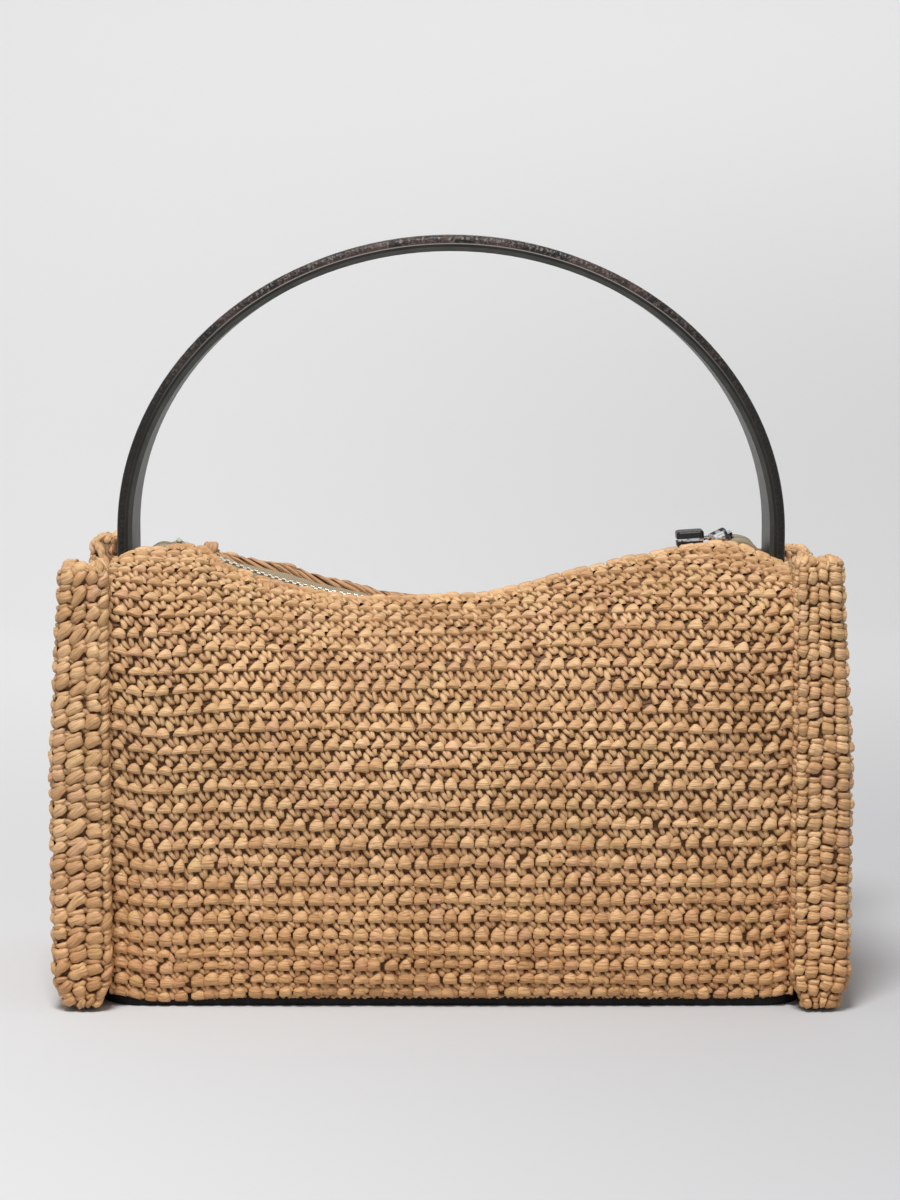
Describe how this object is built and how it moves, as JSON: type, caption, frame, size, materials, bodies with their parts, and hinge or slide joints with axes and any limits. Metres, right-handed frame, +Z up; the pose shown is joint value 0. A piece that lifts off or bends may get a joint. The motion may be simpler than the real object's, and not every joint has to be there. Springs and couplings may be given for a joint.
{
  "type": "shoulder bag",
  "caption": "Small crocheted raffia shoulder bag with standing corner ridges, a sagging zip mouth, a thin leather base and a stiff arched leather handle.",
  "frame": {"origin": "on the floor, under the middle of the bag's outer box", "axes": "+X along the bag towards the closed end of the zip, -Y the front, +Z up"},
  "size_m": [0.28, 0.12, 0.2713],
  "materials": {
    "raffia": "crocheted tan raffia, matt with a light sheen on the strands",
    "base_leather": "smooth black leather",
    "board": "pressed fibreboard",
    "handle_grain": "grained dark brown leather, domed",
    "handle_smooth": "smooth dark grey leather",
    "handle_core": "bonded leather fibre filler",
    "lining": "plain cotton twill",
    "zip_tape": "olive woven herringbone tape",
    "zip_metal": "pale polished metal",
    "chrome": "polished",
    "puller_leather": "smooth black leather",
    "patch_leather": "raw tan leather"
  },
  "bodies": {
    "bag": {"front_panel": "raffia", "back_panel": "raffia", "left_end_panel": "raffia", "right_end_panel": "raffia", "base_leather": "base_leather", "base_board": "board", "lining_front": "lining", "lining_back": "lining", "lining_gusset": "lining", "slip_pocket": "lining", "zip_tape_front": "zip_tape", "zip_tape_back": "zip_tape", "zip_teeth_front": "zip_metal", "zip_teeth_back": "zip_metal", "zip_top_stops": "zip_metal", "zip_bottom_stop": "zip_metal", "handle_outer_leather": "handle_grain", "handle_core": "handle_core", "handle_inner_leather": "handle_smooth", "left_anchor_patch": "patch_leather", "right_anchor_patch": "patch_leather", "left_anchor_rivets": "zip_metal", "right_anchor_rivets": "zip_metal"},
    "slider": {"zip_slider": "chrome"},
    "puller": {"puller_link": "chrome", "puller_leather_top": "puller_leather", "puller_leather_bottom": "puller_leather"}
  },
  "joints": [
    {"name": "zip_travel", "type": "hinge", "parent": "bag", "child": "slider", "pos_m": [0, 0, 0.36201], "axis": [0, 1, 0], "range_deg": [0, 50.6]},
    {"name": "puller_swing", "type": "hinge", "parent": "slider", "child": "puller", "pos_m": [0.09563, 0, 0.16193], "axis": [0, 1, 0], "range_deg": [0, 85]}
  ]
}
